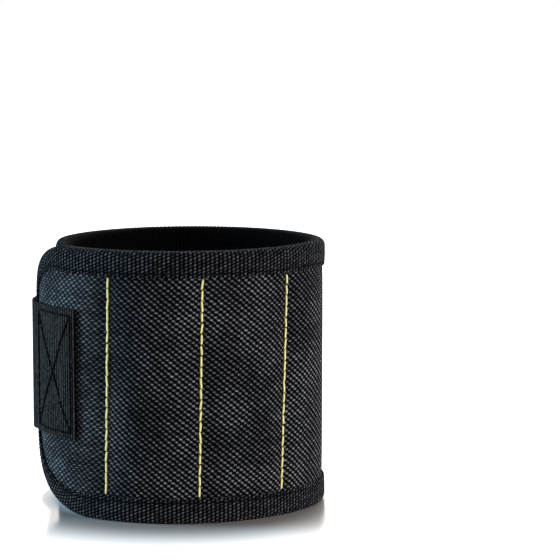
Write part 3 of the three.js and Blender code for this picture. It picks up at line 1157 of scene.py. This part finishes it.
# Stitches
def make_stitch():
    """One stitch along X, of unit length and radius, that dives into the cloth at both ends."""
    bpy.ops.mesh.primitive_cylinder_add(
        vertices=stitch_sides, radius=1, depth=1, rotation=(0, math.pi / 2, 0))
    stitch = bpy.context.object
    stitch.name = "stitch"
    fix_place(stitch)
    for place in stitch_cuts:
        cut(stitch, (place, 0, 0), (1, 0, 0), clear=False)
    for near, far, girth, dive in stitch_ends:
        edit_points(stitch, lambda spot: near < abs(spot.x) < far)
        bpy.ops.transform.resize(value=(1, girth, girth), center_override=(0, 0, 0))
        bpy.ops.transform.translate(value=(0, dive, 0))
        end_edit()
    return stitch


def wind_flat(obj, length, radius):
    """Writes the place along and round a stitch of unit size."""
    layer = obj.data.uv_layers.get("flat") or obj.data.uv_layers.new(name="flat")
    for face in obj.data.polygons:
        middle = math.atan2(face.center.z, face.center.y)
        for place in face.loop_indices:
            spot = obj.data.vertices[obj.data.loops[place].vertex_index].co
            angle = math.atan2(spot.z, spot.y)
            angle += 2 * math.pi * round((middle - angle) / (2 * math.pi))
            layer.data[place].uv = (spot.x * length, angle * radius)


def sewn_stitch(start, end, depth, radius):
    """A copy of the stitch between two places of the flat pattern."""
    run = Vector((end[0] - start[0], 0, end[1] - start[1]))
    copy = copy_of(stitch, "sewn")
    wind_flat(copy, run.length, radius)
    copy.scale = (run.length, radius, radius)
    copy.rotation_euler = (0, -math.atan2(run.z, run.x), 0)
    copy.location = ((start[0] + end[0]) / 2, -depth, (start[1] + end[1]) / 2)
    return copy


def stitch_run(start, end, length, depth, radius, slack=seam_slack):
    """Stitches in a row between two places of the flat pattern, at the depth of the face under them."""
    run = Vector(end) - Vector(start)
    count = max(1, round(run.length / length))
    made = []
    for place in range(count):
        jitter = Vector((chance.uniform(-1, 1), chance.uniform(-1, 1))) * slack * radius
        near = Vector(start) + run * place / count + jitter
        far = Vector(start) + run * (place + 1) / count - jitter
        made.append(sewn_stitch(near, far, depth((near.x + far.x) / 2), radius))
    return made


def level(depth):
    """The depth of a face that lies even all along."""
    return lambda along: depth


def frame_runs(left, right, lower, upper, margin=0):
    left, right, lower, upper = left + margin, right - margin, lower + margin, upper - margin
    spots = [(left, lower), (right, lower), (right, upper), (left, upper)]
    return list(zip(spots, spots[1:] + spots[:1]))


def make_seam(name, runs, depth, radius=seam_radius):
    made = [piece for start, end in runs for piece in stitch_run(start, end, seam_stitch, depth, radius)]
    seam = join(made, name)
    lay(seam, "seam_thread", thread_angle)
    return seam


def make_line(number):
    line = lines[number - 1]
    ends = [(line + lean_at(line, height), height) for height in (line_foot, band_height - line_foot)]
    made = stitch_run(*ends, stitch_step, level(thread_depth), thread_radius, line_slack)
    row = join(made, f"line_thread_{number}")
    lay(row, "line_thread", thread_angle)
    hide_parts(f"stitch_line_{number}")
    if number == flap_line:
        bend_at_flap(row)
    elif number == back_line:
        bend_at_back(row)
    else:
        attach(row, "front_panel" if number < back_line else "back_panel")


# Binding tape: ribs folded over the edge, set in a row and bent round the outline
def leg_depth(inward, face, side):
    """Depth of a leg's face, which dips under the seam and tucks in at its edge."""
    dip = tape_groove * math.exp(-((inward - tape_leg + tape_seam) / tape_groove_width) ** 2)
    tuck = tape_groove * smooth(inward, tape_leg - tape_tuck, tape_leg)
    return face - side * (dip + tuck)


def tape_fold_points():
    """The folded section of the tape: inwards from the edge, and out from the skin."""
    top = tape_outer - rib_height
    foot = tape_inner + rib_height
    radius, step = tape_fold_radius, tape_fold_step
    outer = [(x, leg_depth(x, top, 1)) for x in spaced(tape_leg, radius, step)]
    inner = [(x, leg_depth(x, foot, -1)) for x in spaced(radius, tape_leg, step)]
    upper_bend = arc((radius, top - radius), radius, math.pi / 2, math.pi, step)
    lower_bend = arc((radius, foot + radius), radius, math.pi, 1.5 * math.pi, step)
    return [*outer[:-1], *upper_bend, *lower_bend, *inner[1:]]


fold_points = tape_fold_points()
tape_width = path_length(fold_points)


def make_rib():
    """One rib of the tape, folded, lying along Y and Z with its pitch along X."""
    fold_path = make_path("fold", fold_points)
    rib = flat_grid("rib", 0, tape_width, 0, tape_rib, tape_fold_cuts, rib_cuts)
    raise_rib(rib, 2, tape_rib, rib_height)
    mark_flat(rib, along=2, across=0)
    wrap(rib, fold_path)
    turn(rib, section_to_run)
    remove(fold_path)
    return rib


def corner_arc(end, ahead, radius, up):
    """A corner of the outline, walked with the band on the left."""
    centre = corner_centre(end, ahead, radius, up)
    start = {(1, 1): 0.5, (1, -1): 1.0, (-1, -1): 1.5, (-1, 1): 0.0}[(ahead, up)] * math.pi
    return arc((centre.x, centre.z), radius, start, start + math.pi / 2, path_step)


def straight(start, end, height):
    return [(along, height) for along in spaced(start, end, path_step)]


def round_end(start, first, second):
    """The outline from a place along the band round its end and back."""
    bend = corner_arc(*first) + corner_arc(*second)
    (there, near), (back, far) = bend[0], bend[-1]
    return straight(start, there, near)[:-1] + bend + straight(back, start, far)[1:]


tape_runs = [
    ("front_left", round_end(left_cut, corners[0], corners[1]), bend_at_flap, "shell_front_left",
     ("binding_flap", "binding_top_front", "binding_bottom_front")),
    ("bottom_right", straight(left_cut, rear_cut, 0), bend_at_back, "shell_front_right",
     ("binding_bottom_front", "binding_back")),
    ("top_right", straight(rear_cut, left_cut, band_height), bend_at_back, "shell_front_right",
     ("binding_top_front", "binding_back")),
    ("rear", round_end(rear_cut, corners[3], corners[2]), ride_back, "shell_rear", ("binding_back",)),
]


def leg_share(run, length):
    """Share of the leg past the fold that is left at a place of the flap's run: less round its end."""
    top = (run - left_cut + flap_top_radius) / flap_top_radius
    bottom = (length - run - left_cut + flap_bottom_radius) / flap_bottom_radius
    turn = min(max(0, min(top, bottom)), math.pi / 2)
    drawn = (tape_leg - tape_end_leg) / (tape_leg - tape_fold_radius)
    return 1 - drawn * math.sin(turn)


def draw_in(value, start, share):
    return value if value < start else start + (value - start) * share


def draw_in_tape(tape, length):
    """Draws the legs of the flap's tape in round its end, and the flat place of its weave with them."""
    middle = tape_width / 2
    fold = middle - tape_leg + tape_fold_radius
    weave = tape.data.uv_layers["flat"].data
    for loop in tape.data.loops:
        share = leg_share(tape.data.vertices[loop.vertex_index].co.x, length)
        spot = weave[loop.index].uv
        off = draw_in(abs(spot.y - middle), fold, share)
        spot.y = middle + math.copysign(off, spot.y - middle)
    for point in tape.data.vertices:
        point.co.y = draw_in(point.co.y, tape_fold_radius, leg_share(point.co.x, length))


def draw_in_seam(seam, length):
    height = tape_leg - tape_seam
    for point in seam.data.vertices:
        point.co.y += draw_in(height, tape_fold_radius, leg_share(point.co.x, length)) - height


def along_outline(obj, run_path, slot):
    """Bends a straight run round the outline, then wraps it."""
    wrap(obj, run_path)
    turn(obj, lay_flat_to_stand)
    lay(obj, slot, thread_angle)


def make_tape(rib, name, points, move, shell, nodes):
    length = path_length(points)
    count = round(length / tape_rib)
    pitch = length / count
    run_path = make_path("run", points)
    tape = copy_of(rib, f"binding_{name}")
    tape.scale = (pitch / tape_rib, 1, 1)
    fix_place(tape)
    repeat(
        tape, count, (pitch, 0, 0), use_merge_vertices=True, merge_threshold=rib_weld, offset_u=tape_rib)
    thicken(tape, tape_thickness)
    if name == "front_left":
        draw_in_tape(tape, length)
    along_outline(tape, run_path, "binding_tape")
    move(tape)
    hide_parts(*nodes)
    move(make_tape_seam(name, length, run_path))
    remove(run_path)


def make_tape_seam(name, length, run_path):
    """The seam through both legs of the tape, outside and inside."""
    height = tape_leg - tape_seam
    ends = ((0, height), (length, height))
    sunk = tape_groove + rib_height * seam_sink
    front = stitch_run(*ends, tape_stitch, level(tape_outer - sunk), seam_radius)
    back = join(stitch_run(*ends, tape_stitch, level(0), seam_radius), "back")
    face_inwards(back, 1, -tape_inner - sunk)
    seam = join([*front, back], f"binding_seam_{name}")
    turn(seam, stand_to_lay_flat)
    if name == "front_left":
        draw_in_seam(seam, length)
    along_outline(seam, run_path, "seam_thread")
    return seam


# Strap
def make_strap():
    free = flat_grid("strap_free", 0, strap_pitch, strap_low, strap_low + strap_width, rib_cuts, strap_rows)
    raise_rib(free, 0, strap_pitch, rib_height)
    repeat(free, strap_ribs, (strap_pitch, 0, 0), use_merge_vertices=True, merge_threshold=rib_weld)
    for up, edge in ((-1, strap_low), (1, strap_low + strap_width)):
        round_corner(free, Vector((tip_corner, 0, edge - up * tip_corner)), tip_corner, 1, up)
    mark_flat(free)
    thicken(free, strap_thickness - rib_height)
    ease_edges(free, strap_ease_angle)
    sewn = copy_of(free, "strap_sewn")
    free_length = tip_length + tail_length / 2
    cut(free, (free_length, 0, 0), (1, 0, 0), fill=True)
    cut(sewn, (free_length, 0, 0), (-1, 0, 0), fill=True)
    for part in (free, sewn):
        lay(part, "strap_webbing", tape_angle, strap_path)
    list(ends_of(tail_end))
    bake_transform(free)
    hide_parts("strap_tip", "strap_tail")
    at_rest(left_end - fold_reach)
    at_rest(fold_reach)
    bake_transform(sewn)
    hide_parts("strap_root", "strap_tail")


def on_strap(along):
    return strap_depth(along) + seam_radius * seam_lift


def make_box_seam():
    low = strap_low + seam_margin
    high = strap_low + strap_width - seam_margin
    far = root_length - seam_margin
    cross = [((box_from, low), (far, high)), ((box_from, high), (far, low))]
    runs = frame_runs(box_from, far, low, high) + cross
    seam = make_seam("strap_box_seam", runs, on_strap, box_seam_radius)
    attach(seam, "closing_flap")
    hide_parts("strap_box_stitch")


# Hook and loop
hook_start = tip_end + grip_length
hook_end = tail_end - fold_gap / 2 - hook_margin
hook_low = strap_low + hook_margin
hook_high = strap_low + strap_width - hook_margin
hook_sides = (hook_start, hook_end, hook_low, hook_high)


def make_base(name, sides, cuts, depth, thickness):
    base = flat_grid(name, *sides, *cuts)
    move_points(base, lambda spot: True, (0, -depth, 0))
    thicken(base, thickness)
    return base


def make_hook():
    """One small hook that stands on the tape's inner face and curls over along X."""
    bpy.ops.mesh.primitive_cylinder_add(
        vertices=hook_corners, radius=hook_radius, depth=hook_stem, rotation=(math.pi / 2, 0, 0))
    hook = bpy.context.object
    fix_place(hook)
    for lean, rise, curl in hook_bends:
        caps = [face for face in hook.data.polygons if len(face.vertices) == hook_corners]
        tip = max(caps, key=lambda face: face.center.y + 2 * face.center.x)
        tip_number = tip.index
        step = Vector((lean * MM, rise * MM, 0))
        bent = tip.center + step
        edit_faces(hook, lambda face: face.index == tip_number)
        bpy.ops.mesh.extrude_region_move(TRANSFORM_OT_translate={"value": step})
        bpy.ops.transform.rotate(value=math.radians(curl), orient_axis="Z", center_override=bent)
        bpy.ops.transform.resize(value=(hook_taper, hook_taper, hook_taper), center_override=bent)
        end_edit()
    return hook


def make_hook_field():
    base = make_base("hook_base", hook_sides, hook_grid, hook_depth, hook_base)
    hook = make_hook()
    inset = hook_pitch * hook_inset
    hook.location = (hook_start + inset, hook_base + hook_lift - hook_depth, hook_low + inset)
    fix_place(hook)
    repeat(hook, int((hook_end - hook_start - hook_pitch) / hook_pitch), (hook_pitch, 0, 0))
    repeat(hook, int((hook_high - hook_low - hook_pitch) / hook_pitch), (0, 0, hook_pitch))
    field = join([base, hook], "hook_field")
    lay(field, "hook_tape", tape_angle)
    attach(field, "strap_tip")
    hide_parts("hook_patch")
    seam = make_seam("hook_seam", frame_runs(*hook_sides, seam_margin), on_strap)
    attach(seam, "strap_tip")
    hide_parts("hook_stitch")


def make_loop():
    """One loop of the pile: a thin strand arched over its foot."""
    bpy.ops.mesh.primitive_torus_add(
        major_segments=loop_sides, minor_segments=strand_sides, major_radius=loop_radius,
        minor_radius=strand_radius, rotation=(math.pi / 2, 0, 0))
    loop = bpy.context.object
    fix_place(loop)
    return loop


def make_loop_field():
    end = left_end - loop_margin
    lower = (band_height - loop_width) / 2
    upper = (band_height + loop_width) / 2
    sides = (loop_from, end, lower, upper)
    face = loop_depth + loop_base
    made = [make_base("loop_base", sides, loop_grid, face, loop_base)]
    loop = make_loop()
    for along in spaced(loop_from + loop_pitch, end - loop_pitch, loop_pitch):
        for height in spaced(lower + loop_pitch, upper - loop_pitch, loop_pitch):
            copy = copy_of(loop, "pile")
            size = chance.uniform(*pile_sizes)
            copy.scale = (size, size, size)
            copy.rotation_euler = [chance.uniform(*tilts) for tilts in pile_tilts]
            stray_along = chance.uniform(-pile_stray, pile_stray)
            stray_up = chance.uniform(-pile_stray, pile_stray)
            copy.location = (along + stray_along, -face - pile_lift, height + stray_up)
            made.append(copy)
    remove(loop)
    field = join(made, "loop_field")
    lay(field, "loop_tape", tape_angle)
    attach(field, "back_panel")
    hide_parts("loop_patch")
    seam = make_seam("loop_seam", frame_runs(*sides, seam_margin), level(face + seam_radius))
    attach(seam, "back_panel")


make_camera()
make_floor()
make_light()

quilt = make_quilt()
make_shell(quilt)
make_lining(quilt)
remove(quilt)
make_foam("flap", "closing_flap", 0, flap_fold - fold_gap / 2)
make_foam("front", "front_panel", flap_fold + fold_gap / 2, back_fold - fold_gap / 2)
make_foam("back", "back_panel", back_fold + fold_gap / 2, band_length)

stitch = make_stitch()
for number in range(1, line_count + 1):
    make_line(number)

rib = make_rib()
for run in tape_runs:
    make_tape(rib, *run)
remove(rib)

make_strap()
make_box_seam()
make_hook_field()
make_loop_field()
remove(stitch, plan_path, strap_path)

for name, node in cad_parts.items():
    if name.startswith("magnet"):
        dress(node, "magnet_plating")
